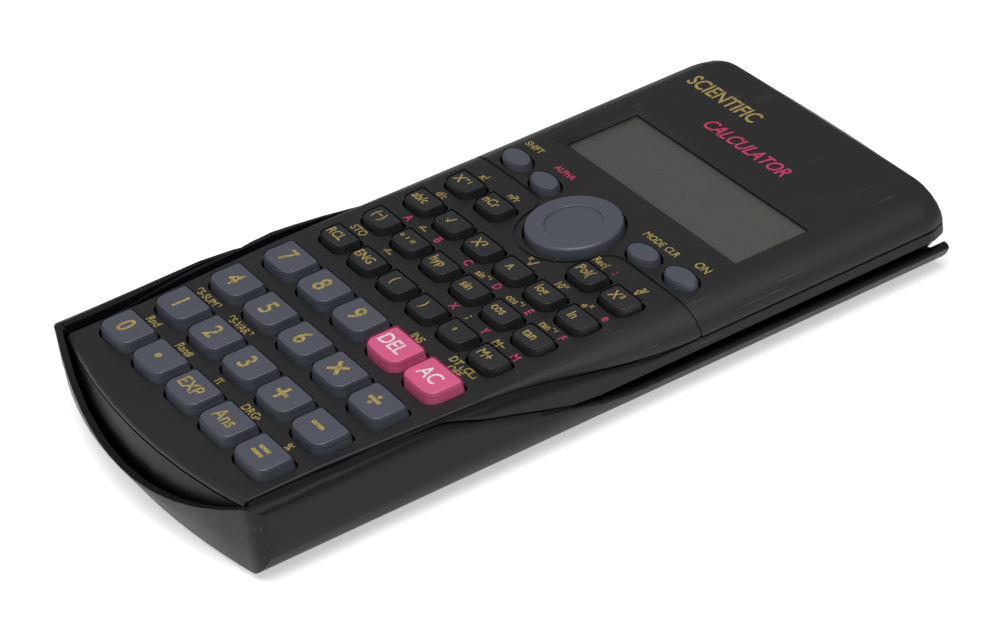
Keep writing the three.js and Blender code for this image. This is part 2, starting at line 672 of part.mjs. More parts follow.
function plate({ halfWidth, bottomY, topY, bottomZ, topZ }) {
  return box(-halfWidth, halfWidth, bottomY, topY, bottomZ, topZ);
}

function cellContact() {
  const { halfWidth, bottomY, topY, bottomZ, topZ, legZ } = CONTACT;
  const strip = box(CELL.x - halfWidth, CELL.x + halfWidth, bottomY, topY, bottomZ, topZ);
  return strip.add(box(CELL.x - halfWidth, CELL.x + halfWidth, bottomY, bottomY + 0.4, legZ, topZ));
}

// ---------- materials and assembly ----------

const finish = (color, roughness, metalness = 0) => (
  new THREE.MeshStandardMaterial({ color, roughness, metalness })
);
const casePlastic = finish('#1b1b1d', 0.5);
const coverPlastic = finish('#141416', 0.42);
const keyFinish = {
  slate: finish('#444b5c', 0.5),
  black: finish('#232428', 0.55),
  pink: finish('#e0607f', 0.5),
};
const metal = finish('#c9ccd0', 0.3, 1);

const calculator = new THREE.Group();
calculator.add(
  toMesh('back_case', backCase(), coverPlastic),
  toMesh('front_case', frontCase(), casePlastic),
  toMesh('slide_cover', slideCover(), coverPlastic),
  toMesh('display_window', plate({
    halfWidth: WINDOW.halfWidth - 0.3,
    bottomY: WINDOW.bottomY + 0.3,
    topY: WINDOW.topY - 0.3,
    bottomZ: LCD.topZ + 0.3,
    topZ: LCD.topZ + 0.3 + LENS_THICKNESS,
  }), finish('#dfe4e2', 0.1)),
  toMesh('lcd_panel', plate(LCD), finish('#9aa193', 0.35)),
  toMesh('lcd_connector', plate(CONNECTOR), finish('#d8d8d4', 0.7)),
  toMesh('circuit_board', plate(BOARD), finish('#2f6b45', 0.6)),
  toMesh('key_mat', plate(MAT), finish('#8f9296', 0.8)),
  toMesh('button_cell', cylinder(CELL.x, CELL.y, CELL.radius, CELL.bottomZ, CELL.topZ, 24), metal),
  toMesh('cell_contact', cellContact(), metal),
  toMesh('battery_cover', batteryCover(), coverPlastic),
  toMesh('battery_screw', batteryScrew(), metal),
  namedMesh('cursor_pivot', cursorPivot(), keyFinish.slate),
  toMesh('cursor_pad', cursorPad(), keyFinish.slate),
);
for (const key of keys) {
  calculator.add(namedMesh(`key_${key.name}`, keyGeometry(key), keyFinish[key.colour]));
}
calculator.position.y = -(HEAD_END + COVER_END_Y) / 2;

export default calculator;
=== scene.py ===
"""Looks of a scientific calculator lying in its slide-on cover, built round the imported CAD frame."""

import math

import bpy
from mathutils import Matrix, Vector


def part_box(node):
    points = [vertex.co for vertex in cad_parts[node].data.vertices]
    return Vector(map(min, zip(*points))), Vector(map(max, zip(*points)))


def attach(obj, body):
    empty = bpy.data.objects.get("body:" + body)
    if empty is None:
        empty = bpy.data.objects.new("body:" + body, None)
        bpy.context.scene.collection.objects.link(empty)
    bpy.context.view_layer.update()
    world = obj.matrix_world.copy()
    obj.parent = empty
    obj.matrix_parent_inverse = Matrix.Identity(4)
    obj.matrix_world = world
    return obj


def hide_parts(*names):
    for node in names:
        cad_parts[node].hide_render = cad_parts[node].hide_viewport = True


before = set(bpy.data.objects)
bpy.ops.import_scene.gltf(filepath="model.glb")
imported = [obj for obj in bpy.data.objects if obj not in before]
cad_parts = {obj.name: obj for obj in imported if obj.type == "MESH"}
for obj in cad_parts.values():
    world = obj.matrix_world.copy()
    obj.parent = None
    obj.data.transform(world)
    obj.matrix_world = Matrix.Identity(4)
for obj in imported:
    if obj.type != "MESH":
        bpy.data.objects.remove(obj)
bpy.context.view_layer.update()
bpy.ops.object.select_all(action="DESELECT")

MM = 0.001

# ---------- sizes, in millimetres, that the looks add to the CAD frame ----------

FACE_Z = 14.7
INK_HEIGHT = 0.012
# Share of a letter's height by which its strokes are fattened, as ink spreads.
INK_WEIGHT = 0.02
KEY_DRAFT = 0.35
KEY_DISH = 0.06
BROKEN_EDGE = 0.12

# Outlines of the caps: width, depth, bow of the near edge, far and near corner radius.
CAP_SIZES = {"number": (11.0, 7.6, 0.35, 1.0, 2.1), "function": (8.6, 5.4, 0.25, 0.9, 1.7)}
# Half width and half depth of the oval cap.
OVAL_CAP = (4.3, 2.6)
CAP_TOP_Z = {"number": 16.6, "function": 16.05, "oval": 16.0}
CAP_FILLET = {"number": 0.5, "function": 0.42, "oval": 0.45}
KEY_FLANGE = 0.6
KEY_SKIRT_Z = 12.1
# Legends stand left of the middle of a cap, more so on the function keys.
LEGEND_SHIFT = {"number": -0.45, "function": -0.9}

PAD_RADIUS = 9.6
PAD_FLANGE_RADIUS = 10.2
PAD_FLANGE_HEIGHT = 0.6
PAD_DISH_RADIUS = 5.7
PAD_DEPTH_SHARE = 0.96
PAD_ARROW_RADIUS = 7.55

SWEEP_SIZE = 6000
SWEEP_Z = -0.5


# ---------- materials ----------

def linear(code):
    """An sRGB hex colour as linear RGBA."""
    channels = [int(code[i:i + 2], 16) / 255 for i in (1, 3, 5)]
    straight = [c / 12.92 if c <= 0.04045 else ((c + 0.055) / 1.055) ** 2.4 for c in channels]
    return (*straight, 1.0)


def node(tree, kind, links=None, **settings):
    """Adds a node with its settings; links gives each input a value or the socket that feeds it."""
    made = tree.nodes.new(kind)
    for name, value in settings.items():
        setattr(made, name, value)
    for name, source in (links or {}).items():
        if isinstance(source, bpy.types.NodeSocket):
            tree.links.new(source, made.inputs[name])
        else:
            made.inputs[name].default_value = source
    return made


def new_material(name):
    material = bpy.data.materials.new(name)
    material.use_nodes = True
    tree = material.node_tree
    tree.nodes.clear()
    surface = node(tree, "ShaderNodeBsdfPrincipled")
    output = node(tree, "ShaderNodeOutputMaterial", {"Surface": surface.outputs["BSDF"]})
    output.location = (600, 0)
    return material, tree, surface


def stops(ramp, *values):
    """Sets a colour ramp to the given (position, grey level) stops."""
    elements = ramp.color_ramp.elements
    while len(elements) > 1:
        elements.remove(elements[-1])
    for i, (position, level) in enumerate(values):
        element = elements[0] if i == 0 else elements.new(position)
        element.position = position
        element.color = (level, level, level, 1.0)
    return ramp


def moulded_abs(name, base, worn, roughness, grain_mm, grain_bump, scratches, specks, gloss=0.5):
    """Moulded ABS: a tool-texture grain, cloudy handling marks, hair scratches and pale scuffs."""
    material, tree, surface = new_material(name)
    place = node(tree, "ShaderNodeTexCoord").outputs["Object"]
    # Spark-eroded tool texture, drawn a little coarser than its 0.1 mm so that it shows.
    grain = node(tree, "ShaderNodeTexNoise",
                 {"Vector": place, "Scale": 1 / (grain_mm * MM), "Detail": 2.0})
    # Polish from handling, in clouds about 18 mm across.
    clouds = node(tree, "ShaderNodeTexNoise", {"Vector": place, "Scale": 55.0, "Detail": 3.0})
    # Hair scratches: noise stretched 60:1 along a slanted line, cut down to its peaks.
    slant = node(tree, "ShaderNodeMapping", {"Vector": place, "Rotation": (0.0, 0.0, 0.35),
                                             "Scale": (2600.0, 45.0, 900.0)})
    streaks = node(tree, "ShaderNodeTexNoise",
                   {"Vector": slant.outputs["Vector"], "Scale": 1.0, "Detail": 1.0})
    hairs = stops(node(tree, "ShaderNodeValToRGB", {"Fac": streaks.outputs["Fac"]}),
                  (0.0, 0.0), (0.70, 0.0), (0.76, 1.0))
    thin = node(tree, "ShaderNodeTexNoise", {"Vector": place, "Scale": 90.0, "Detail": 1.0})
    patches = stops(node(tree, "ShaderNodeValToRGB", {"Fac": thin.outputs["Fac"]}),
                    (0.0, 0.0), (0.52, 0.0), (0.66, 1.0))
    scratch = node(tree, "ShaderNodeMath", {0: hairs.outputs["Color"], 1: patches.outputs["Color"]},
                   operation="MULTIPLY")
    # Dust and small chips, about 0.12 mm across and 4 mm apart.
    cells = node(tree, "ShaderNodeTexVoronoi", {"Vector": place, "Scale": 240.0})
    chips = stops(node(tree, "ShaderNodeValToRGB", {"Fac": cells.outputs["Distance"]}),
                  (0.0, 1.0), (0.022, 0.6), (0.034, 0.0))
    marked = node(tree, "ShaderNodeMath", {0: scratch.outputs["Value"], 1: scratches},
                  operation="MULTIPLY")
    dusted = node(tree, "ShaderNodeMath",
                  {0: chips.outputs["Color"], 1: specks, 2: marked.outputs["Value"]},
                  operation="MULTIPLY_ADD", use_clamp=True)
    colour = node(tree, "ShaderNodeMix", data_type="RGBA")
    tree.links.new(dusted.outputs["Value"], colour.inputs["Factor"])
    colour.inputs["A"].default_value = linear(base)
    colour.inputs["B"].default_value = linear(worn)
    shine = node(tree, "ShaderNodeMapRange",
                 {"Value": clouds.outputs["Fac"], "From Min": 0.3, "From Max": 0.7,
                  "To Min": roughness - 0.05, "To Max": roughness + 0.06})
    relief = node(tree, "ShaderNodeBump",
                  {"Height": grain.outputs["Fac"], "Strength": grain_bump, "Distance": 0.02 * MM})
    tree.links.new(colour.outputs["Result"], surface.inputs["Base Color"])
    tree.links.new(shine.outputs["Result"], surface.inputs["Roughness"])
    tree.links.new(relief.outputs["Normal"], surface.inputs["Normal"])
    surface.inputs["IOR"].default_value = 1.53
    surface.inputs["Specular IOR Level"].default_value = gloss
    return material


def printed_ink(name, base, thin):
    """Pad-printed ink: a matt film that covers a little unevenly."""
    material, tree, surface = new_material(name)
    place = node(tree, "ShaderNodeTexCoord").outputs["Object"]
    # Uneven cover of the film, in patches about 0.35 mm across.
    cover = node(tree, "ShaderNodeTexNoise", {"Vector": place, "Scale": 2800.0, "Detail": 2.0})
    film = stops(node(tree, "ShaderNodeValToRGB", {"Fac": cover.outputs["Fac"]}),
                 (0.0, 1.0), (0.36, 1.0), (0.62, 0.0))
    colour = node(tree, "ShaderNodeMix", data_type="RGBA")
    tree.links.new(film.outputs["Color"], colour.inputs["Factor"])
    colour.inputs["A"].default_value = linear(base)
    colour.inputs["B"].default_value = linear(thin)
    tree.links.new(colour.outputs["Result"], surface.inputs["Base Color"])
    surface.inputs["Roughness"].default_value = 0.55
    surface.inputs["IOR"].default_value = 1.5
    return material


# Spark-eroded black ABS of the front case: dark and dull, so edges show only as soft grey lines.
case_abs = moulded_abs("spark_eroded_black_abs", "#1b1b1c", "#8d8d8c", 0.5, 0.22, 0.25, 0.3, 0.35)
# Satin black ABS of the lower case and cover: a finer tool finish, so broad soft reflections show.
cover_abs = moulded_abs("satin_black_abs", "#101115", "#7b7d80", 0.42, 0.4, 0.08, 0.35,
                        0.2, gloss=0.22)
# Slate ABS keycaps: satin and rather even, with bright fillets round the top.
slate_abs = moulded_abs("satin_slate_abs", "#50535f", "#9a9ba4", 0.36, 0.3, 0.08, 0.1, 0.25)
# Near-black ABS keycaps.
black_abs = moulded_abs("satin_near_black_abs", "#242527", "#7c7c7e", 0.4, 0.3, 0.1, 0.1, 0.3)
# Pink ABS keycaps. A light colour in ABS is a little see-through at the edges; this finish does not show
# it.
pink_abs = moulded_abs("satin_pink_abs", "#dd5f8d", "#f2b4c9", 0.36, 0.3, 0.06, 0.1, 0.2)
# Pad-printed inks.
gold_ink = printed_ink("gold_pad_print", "#c0a75c", "#857440")
pink_ink = printed_ink("pink_pad_print", "#e2416f", "#a3335a")
white_ink = printed_ink("white_pad_print", "#f4f1ee", "#e6b6c6")


def display_glass():
    """Reflective liquid crystal panel: grey-green polariser film over its sealed border."""
    material, tree, surface = new_material("grey_green_polariser")
    place = node(tree, "ShaderNodeTexCoord").outputs["Object"]
    # Faint unevenness of the reflector, about 12 mm across.
    cloud = node(tree, "ShaderNodeTexNoise", {"Vector": place, "Scale": 80.0, "Detail": 2.0})
    # Brushed reflector grain behind the film, 0.2 mm wide.
    grain = node(tree, "ShaderNodeTexNoise", {"Vector": place, "Scale": 5000.0, "Detail": 1.0})
    mixed = node(tree, "ShaderNodeMath", {0: cloud.outputs["Fac"], 1: grain.outputs["Fac"]},
                 operation="ADD")
    level = node(tree, "ShaderNodeMapRange", {"Value": mixed.outputs["Value"],
                                              "From Min": 0.7, "From Max": 1.3})
    colour = node(tree, "ShaderNodeMix", data_type="RGBA")
    tree.links.new(level.outputs["Result"], colour.inputs["Factor"])
    colour.inputs["A"].default_value = linear("#1f211c")
    colour.inputs["B"].default_value = linear("#282a24")
    tree.links.new(colour.outputs["Result"], surface.inputs["Base Color"])
    surface.inputs["Roughness"].default_value = 0.42
    surface.inputs["IOR"].default_value = 1.5
    return material


def clear_window():
    """Clear acrylic with an anti-glare coat: almost nothing shows but a soft veil of reflection."""
    material, tree, surface = new_material("coated_clear_acrylic")
    place = node(tree, "ShaderNodeTexCoord").outputs["Object"]
    # Wipe marks in the coat, about 6 mm across.
    wipes = node(tree, "ShaderNodeTexNoise", {"Vector": place, "Scale": 160.0, "Detail": 4.0})
    haze = node(tree, "ShaderNodeMapRange", {"Value": wipes.outputs["Fac"],
                                             "To Min": 0.22, "To Max": 0.34})
    tree.links.new(haze.outputs["Result"], surface.inputs["Roughness"])
    surface.inputs["Base Color"].default_value = linear("#c9ccc6")
    surface.inputs["Alpha"].default_value = 0.06
    surface.inputs["IOR"].default_value = 1.49
    return material


def plain_finish(name, base, other, roughness, spacing_mm, bump, metallic=0.0, ior=1.5):
    """A finish seen only with the object open or from below: two tones and a fine relief."""
    material, tree, surface = new_material(name)
    place = node(tree, "ShaderNodeTexCoord").outputs["Object"]
    tone = node(tree, "ShaderNodeTexNoise",
                {"Vector": place, "Scale": 1 / (spacing_mm * MM), "Detail": 3.0})
    colour = node(tree, "ShaderNodeMix", data_type="RGBA")
    tree.links.new(tone.outputs["Fac"], colour.inputs["Factor"])
    colour.inputs["A"].default_value = linear(base)
    colour.inputs["B"].default_value = linear(other)
    relief = node(tree, "ShaderNodeBump",
                  {"Height": tone.outputs["Fac"], "Strength": bump, "Distance": 0.05 * MM})
    tree.links.new(colour.outputs["Result"], surface.inputs["Base Color"])
    tree.links.new(relief.outputs["Normal"], surface.inputs["Normal"])
    surface.inputs["Roughness"].default_value = roughness
    surface.inputs["Metallic"].default_value = metallic
    surface.inputs["IOR"].default_value = ior
    return material


lcd_film = display_glass()
window_acrylic = clear_window()
# Moulded grey silicone: matt, with a faint bloom.
silicone = plain_finish("moulded_grey_silicone", "#86888b", "#94969a", 0.62, 3.0, 0.1, ior=1.41)
# Green solder mask over fibreglass weave, 0.5 mm between threads.
solder_mask = plain_finish("green_solder_mask", "#1c4d2c", "#2a6a3d", 0.34, 0.5, 0.2, ior=1.55)
# Nickel-plated steel, tumbled before plating, so its shine is slightly broken.
nickel = plain_finish("nickel_plated_steel", "#b9b7b2", "#cbc9c4", 0.28, 0.6, 0.1, metallic=1.0)


# ---------- shells carried over from the CAD frame ----------

def edit(obj, mode="VERT"):
    """Opens obj alone in edit mode with nothing selected."""
    bpy.ops.object.select_all(action="DESELECT")
    bpy.context.view_layer.objects.active = obj
    obj.select_set(True)
    bpy.ops.object.mode_set(mode="EDIT")
    bpy.ops.mesh.select_mode(type=mode)
    bpy.ops.mesh.select_all(action="DESELECT")


def done():
    bpy.ops.object.mode_set(mode="OBJECT")
    bpy.ops.object.select_all(action="DESELECT")


def settle(obj, name, material, body, angle=32.0):
    """Names a finished piece, smooths it by angle, gives it its material and lets it ride."""
    obj.name = name
    obj.data.name = name
    obj.data.materials.clear()
    obj.data.materials.append(material)
    bpy.ops.object.select_all(action="DESELECT")
    bpy.context.view_layer.objects.active = obj
    obj.select_set(True)
    bpy.ops.object.shade_smooth_by_angle(angle=math.radians(angle))
    obj.select_set(False)
    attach(obj, body)
    return obj


def refined_shell(cad_name, name, material, body, edge_mm=BROKEN_EDGE):
    """A merged copy of a CAD shell with its flat faces rejoined and its sharp edges broken."""
    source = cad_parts[cad_name]
    shell = source.copy()
    shell.data = source.data.copy()
    bpy.context.scene.collection.objects.link(shell)
    shell.parent = None
    shell.matrix_world = Matrix.Identity(4)
    edit(shell)
    bpy.ops.mesh.select_all(action="SELECT")
    bpy.ops.mesh.remove_doubles(threshold=0.002 * MM)
    bpy.ops.mesh.dissolve_limited(angle_limit=math.radians(0.6))
    bpy.ops.mesh.customdata_custom_splitnormals_clear()
    done()
    broken = shell.modifiers.new("broken_edge", "BEVEL")
    broken.width = edge_mm * MM
    broken.segments = 2
    broken.limit_method = "ANGLE"
    broken.angle_limit = math.radians(38)
    broken.use_clamp_overlap = True
    bpy.context.view_layer.objects.active = shell
    bpy.ops.object.modifier_apply(modifier=broken.name)
    settle(shell, name, material, body)
    even = shell.modifiers.new("even_shading", "WEIGHTED_NORMAL")
    even.keep_sharp = True
    bpy.context.view_layer.objects.active = shell
    bpy.ops.object.modifier_apply(modifier=even.name)
    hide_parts(cad_name)


refined_shell("front_case", "front_shell", case_abs, "calculator")
refined_shell("back_case", "lower_shell", cover_abs, "calculator")
refined_shell("slide_cover", "cover_shell", cover_abs, "slide_cover")
refined_shell("battery_cover", "battery_door", cover_abs, "calculator")
refined_shell("battery_screw", "door_screw", nickel, "calculator", 0.06)
refined_shell("display_window", "window_lens", window_acrylic, "calculator", 0.08)

for cad_name, material in (("lcd_panel", lcd_film), ("lcd_connector", silicone),
                           ("circuit_board", solder_mask), ("key_mat", silicone),
                           ("button_cell", nickel), ("cell_contact", nickel),
                           ("cursor_pivot", slate_abs)):
    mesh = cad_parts[cad_name].data
    mesh.materials.clear()
    mesh.materials.append(material)


# ---------- keycaps ----------

def arc(cx, cy, radius, start_turn, steps):
    turn = math.pi / 2
    return [(cx + radius * math.cos((start_turn + i / steps) * turn),
             cy + radius * math.sin((start_turn + i / steps) * turn)) for i in range(steps + 1)]


def cap_outline(width, depth, bow, far_radius, near_radius):
    """Plan of a keycap round its own centre: straight far edge, bowed near edge."""
    x, y = width / 2, depth / 2
    near = [(x * (1 - i / 8), -y) for i in range(3, 14)]
    near = [(px, py) for px, py in near if abs(px) < x - near_radius - 0.05]
    points = (arc(x - far_radius, y - far_radius, far_radius, 0, 5)
              + arc(-x + far_radius, y - far_radius, far_radius, 1, 5)
              + arc(-x + near_radius, -y + near_radius, near_radius, 2, 7)
              + near[::-1]
              + arc(x - near_radius, -y + near_radius, near_radius, 3, 7))
    return [(px, py - bow * (1 - (px / x) ** 2) * min(1.0, -py / y) if py < 0 else py)
            for px, py in points]


def oval_outline(radius_x, radius_y, count=48):
    turns = [2 * math.pi * i / count for i in range(count)]
    return [(radius_x * math.cos(turn), radius_y * math.sin(turn)) for turn in turns]


def drawn_disc(outline, z):
    """A flat n-gon started as a circle and drawn out to the outline, at height z."""
    bpy.ops.mesh.primitive_circle_add(vertices=len(outline), radius=0.004, fill_type="NGON")
    disc = bpy.context.object
    for vertex, (x, y) in zip(disc.data.vertices, outline):
        vertex.co = (x * MM, y * MM, z * MM)
    return disc


def draw_up(height, squeeze_x=1.0, squeeze_y=1.0):
    """Draws the selected face up by a height and squeezes it about the piece's own axis."""
    bpy.ops.mesh.extrude_region_move(TRANSFORM_OT_translate={"value": (0, 0, height * MM)})
    bpy.ops.transform.resize(value=(squeeze_x, squeeze_y, 1), center_override=(0, 0, 0))


def moulded_cap(kind, outline, half_x, half_y):
    """A keycap: drafted side walls, a rounded rim round the top and a faint finger dish."""
    cap = drawn_disc(outline, KEY_SKIRT_Z)
    edit(cap, "FACE")
    bpy.ops.mesh.select_all(action="SELECT")
    draw_up(CAP_TOP_Z[kind] - KEY_SKIRT_Z, 1 - KEY_DRAFT / half_x, 1 - KEY_DRAFT / half_y)
    bpy.ops.mesh.region_to_loop()
    bpy.ops.mesh.bevel(offset=CAP_FILLET[kind] * MM, segments=5, profile=0.5, affect="EDGES")
    done()
    highest = max(vertex.co.z for vertex in cap.data.vertices)
    for face in cap.data.polygons:
        face.select = face.normal.z > 0.99 and abs(face.center.z - highest) < 0.01 * MM
    bpy.context.view_layer.objects.active = cap
    cap.select_set(True)
    bpy.ops.object.mode_set(mode="EDIT")
    bpy.ops.mesh.select_mode(type="FACE")
    for step, fall in ((0.35, 0.2), (0.6, 0.5), (0.7, 0.3)):
        bpy.ops.mesh.inset(thickness=step * MM, depth=-fall * KEY_DISH * MM)
    bpy.ops.mesh.select_all(action="SELECT")
    bpy.ops.mesh.normals_make_consistent(inside=False)
    done()
    return cap


patterns = {kind: moulded_cap(kind, cap_outline(*size), size[0] / 2, size[1] / 2)
            for kind, size in CAP_SIZES.items()}
patterns["oval"] = moulded_cap("oval", oval_outline(*OVAL_CAP), *OVAL_CAP)
cap_finishes = {"number": (slate_abs, "key_slate_abs"), "oval": (slate_abs, "key_slate_abs"),
                "function": (black_abs, "key_black_abs"), "pink": (pink_abs, "key_pink_abs")}

NUMBER_KEYS = ("0", "point", "exp", "ans", "equals", "1", "2", "3", "plus", "minus",
               "4", "5", "6", "times", "divide", "7", "8", "9", "del", "ac")
# How far each oval key is turned in plan, in radians.
OVAL_KEYS = {"shift": -0.05, "alpha": -0.05, "mode": 0.05, "on": 0.05}
PINK_KEYS = ("del", "ac")


def key_kind(name):
    if name in NUMBER_KEYS:
        return "number"
    return "oval" if name in OVAL_KEYS else "function"


def key_centre(name):
    """Centre of a cap in plan, in millimetres, from its CAD node's box."""
    low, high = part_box("key_" + name)
    x = (low.x + high.x) / 2 / MM
    if key_kind(name) == "oval":
        return x, (low.y + high.y) / 2 / MM
    depth = CAP_SIZES[key_kind(name)][1]
    return x, high.y / MM - KEY_FLANGE - depth / 2


key_names = sorted(name.removeprefix("key_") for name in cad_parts
                   if name.startswith("key_") and name != "key_mat")
for key in key_names:
    kind = key_kind(key)
    cap = patterns[kind].copy()
    cap.data = patterns[kind].data.copy()
    bpy.context.scene.collection.objects.link(cap)
    x, y = key_centre(key)
    turn = Matrix.Rotation(OVAL_KEYS.get(key, 0.0), 4, "Z")
    cap.data.transform(Matrix.Translation((x * MM, y * MM, 0)) @ turn)
    finish, slot_name = cap_finishes["pink" if key in PINK_KEYS else kind]
    settle(cap, "cap_" + key, finish, "key_" + key, 40.0)
    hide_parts("key_" + key)

for pattern in patterns.values():
    bpy.data.objects.remove(pattern)


# ---------- cursor pad ----------

def spun_disc(profile, x, y, depth_share):
    """A turned piece: its half profile spun round the upright axis, then squashed in depth."""
    bpy.ops.mesh.primitive_plane_add(size=0.001)
    piece = bpy.context.object
    edit(piece)
    bpy.ops.mesh.select_all(action="SELECT")
    bpy.ops.mesh.merge(type="CENTER")
    done()
    piece.data.vertices[0].co = (profile[0][0] * MM, 0, profile[0][1] * MM)
    edit(piece)
    bpy.ops.mesh.select_all(action="SELECT")
    for (r0, z0), (r1, z1) in zip(profile, profile[1:]):
        bpy.ops.mesh.extrude_region_move(
            TRANSFORM_OT_translate={"value": ((r1 - r0) * MM, 0, (z1 - z0) * MM)})
    bpy.ops.mesh.select_all(action="SELECT")
    bpy.ops.mesh.spin(steps=96, angle=2 * math.pi, center=(0, 0, 0), axis=(0, 0, 1))
    bpy.ops.mesh.select_all(action="SELECT")
    bpy.ops.mesh.remove_doubles(threshold=0.001 * MM)
    bpy.ops.mesh.normals_make_consistent(inside=False)
    bpy.ops.transform.resize(value=(1, depth_share, 1), center_override=(0, 0, 0))
    done()
    piece.data.transform(Matrix.Translation((x * MM, y * MM, 0)))
    return piece


def rounded(cx, cz, radius, start, end, steps=6):
    """Points of a rounded corner of a profile, between two angles in degrees."""
    return [(cx + radius * math.cos(math.radians(start + (end - start) * i / steps)),
             cz + radius * math.sin(math.radians(start + (end - start) * i / steps)))
            for i in range(steps + 1)]


pad_low, pad_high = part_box("cursor_pad")
PAD_X = (pad_low.x + pad_high.x) / 2 / MM
PAD_Y = (pad_low.y + pad_high.y) / 2 / MM
PAD_TOP = pad_high.z / MM
PAD_SKIRT = pad_low.z / MM
# The half profile runs from the axis under the flange, up the side, and in over ring and dish.
pad_profile = [(0.0, PAD_SKIRT), (PAD_FLANGE_RADIUS, PAD_SKIRT),
               (PAD_FLANGE_RADIUS, PAD_SKIRT + PAD_FLANGE_HEIGHT),
               (PAD_RADIUS + 0.15, PAD_SKIRT + PAD_FLANGE_HEIGHT)]
pad_profile += rounded(PAD_RADIUS - 0.75, PAD_TOP - 0.75, 0.7, 5, 80)
pad_profile += [(8.0, PAD_TOP), (7.0, PAD_TOP - 0.03)]
pad_profile += rounded(PAD_DISH_RADIUS + 0.25, PAD_TOP - 0.28, 0.25, 80, 170, 4)
pad_profile += [(PAD_DISH_RADIUS - 0.1, PAD_TOP - 0.5), (PAD_DISH_RADIUS - 0.4, PAD_TOP - 0.56),
                (3.0, PAD_TOP - 0.6), (0.0, PAD_TOP - 0.62)]
pad = spun_disc(pad_profile, PAD_X, PAD_Y, PAD_DEPTH_SHARE)
settle(pad, "pad_cap", slate_abs, "cursor_pad", 40.0)
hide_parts("cursor_pad")


def pad_arrow(name, turn):
    """A raised arrowhead on the pad's ring, pointing outwards."""
    outline = [(0.0, 0.62), (-0.75, -0.42), (0.75, -0.42)]
    arrow = drawn_disc(outline, PAD_TOP - 0.05)
    edit(arrow, "FACE")
    bpy.ops.mesh.select_all(action="SELECT")
    draw_up(0.15, 0.75, 0.75)
    bpy.ops.mesh.region_to_loop()
    bpy.ops.mesh.bevel(offset=0.04 * MM, segments=2, affect="EDGES")
    bpy.ops.mesh.select_all(action="SELECT")
    bpy.ops.mesh.normals_make_consistent(inside=False)
    done()
    spot = Matrix.Translation((PAD_X * MM, PAD_Y * MM, 0)) @ Matrix.Rotation(turn, 4, "Z")
    arrow.data.transform(spot @ Matrix.Translation((0, PAD_ARROW_RADIUS * MM, 0)))
    settle(arrow, name, slate_abs, "cursor_pad")


for i, side in enumerate(("far", "left", "near", "right")):
    pad_arrow("pad_arrow_" + side, i * math.pi / 2)


# ---------- printed legends ----------

def lettering(words, x, y, z, cap_height, width=None, slant=0.0):
    """Printed text as a thin mesh, centred on a place; width stretches it to that many millimetres."""
    curve = bpy.data.curves.new("print", "FONT")
    curve.body = words
    curve.size = cap_height / 0.7 * MM
    curve.align_x = "CENTER"
    curve.align_y = "CENTER"
    curve.resolution_u = 4
    curve.extrude = INK_HEIGHT / 2 * MM
    curve.shear = slant
    curve.offset = cap_height * INK_WEIGHT * MM
    text = bpy.data.objects.new("print", curve)
    bpy.context.scene.collection.objects.link(text)
    bpy.ops.object.select_all(action="DESELECT")
    bpy.context.view_layer.objects.active = text
    text.select_set(True)
    bpy.ops.object.convert(target="MESH")
    text = bpy.context.object
    text.select_set(False)
    spots = [vertex.co for vertex in text.data.vertices]
    low = [min(spot[i] for spot in spots) for i in range(2)]
    high = [max(spot[i] for spot in spots) for i in range(2)]
    stretch = width * MM / (high[0] - low[0]) if width else 1.0
    middle = Matrix.Translation((-(low[0] + high[0]) / 2, -(low[1] + high[1]) / 2, 0))
    spread = Matrix.Diagonal((stretch, 1, 1, 1))
    text.data.transform(Matrix.Translation((x * MM, y * MM, z * MM)) @ spread @ middle)
    return text


def joined(pieces):
    """Joins several meshes into the first."""
    bpy.ops.object.select_all(action="DESELECT")
    for piece in pieces:
        piece.select_set(True)
    bpy.context.view_layer.objects.active = pieces[0]
    if len(pieces) > 1:
        bpy.ops.object.join()
    pieces[0].select_set(False)
    return pieces[0]


# Legends on the caps: words and capital height.
CAP_LEGENDS = {
    "0": ("0", 3.7), "point": ("•", 3.6), "exp": ("EXP", 2.7), "ans": ("Ans", 2.7),
    "equals": ("=", 4.9),
    "1": ("1", 3.7), "2": ("2", 3.7), "3": ("3", 3.7), "plus": ("+", 5.0), "minus": ("−", 5.2),
    "4": ("4", 3.7), "5": ("5", 3.7), "6": ("6", 3.7), "times": ("×", 5.4), "divide": ("÷", 5.0),
    "7": ("7", 3.7), "8": ("8", 3.7), "9": ("9", 3.7), "del": ("DEL", 2.9), "ac": ("AC", 2.9),
    "rcl": ("RCL", 1.95), "eng": ("ENG", 1.95), "open_bracket": ("(", 1.9), "close_bracket": (")", 1.9),
    "comma": (",", 2.8), "m_plus": ("M+", 1.95),
    "negative": ("(−)", 1.9), "degrees": ("° ′ ″", 2.1), "hyp": ("hyp", 1.95),
    "sin": ("sin", 1.95), "cos": ("cos", 1.95), "tan": ("tan", 1.95),
    "fraction": ("ab/c", 1.9), "square_root": ("√", 2.0), "square": ("X²", 2.2),
    "power": ("^", 2.6), "log": ("log", 1.95), "ln": ("ln", 1.95),
    "inverse": ("X⁻¹", 2.1), "combinations": ("nCr", 1.9), "polar": ("Pol(", 1.9),
    "cube": ("X³", 2.2),
}

for key in key_names:
    if key not in CAP_LEGENDS:
        continue
    words, height = CAP_LEGENDS[key]
    kind = key_kind(key)
    x, y = key_centre(key)
    legend = lettering(words, x + LEGEND_SHIFT[kind], y, CAP_TOP_Z[kind] - KEY_DISH, height)
    settle(legend, "legend_" + key, white_ink if key in PINK_KEYS else gold_ink, "key_" + key)

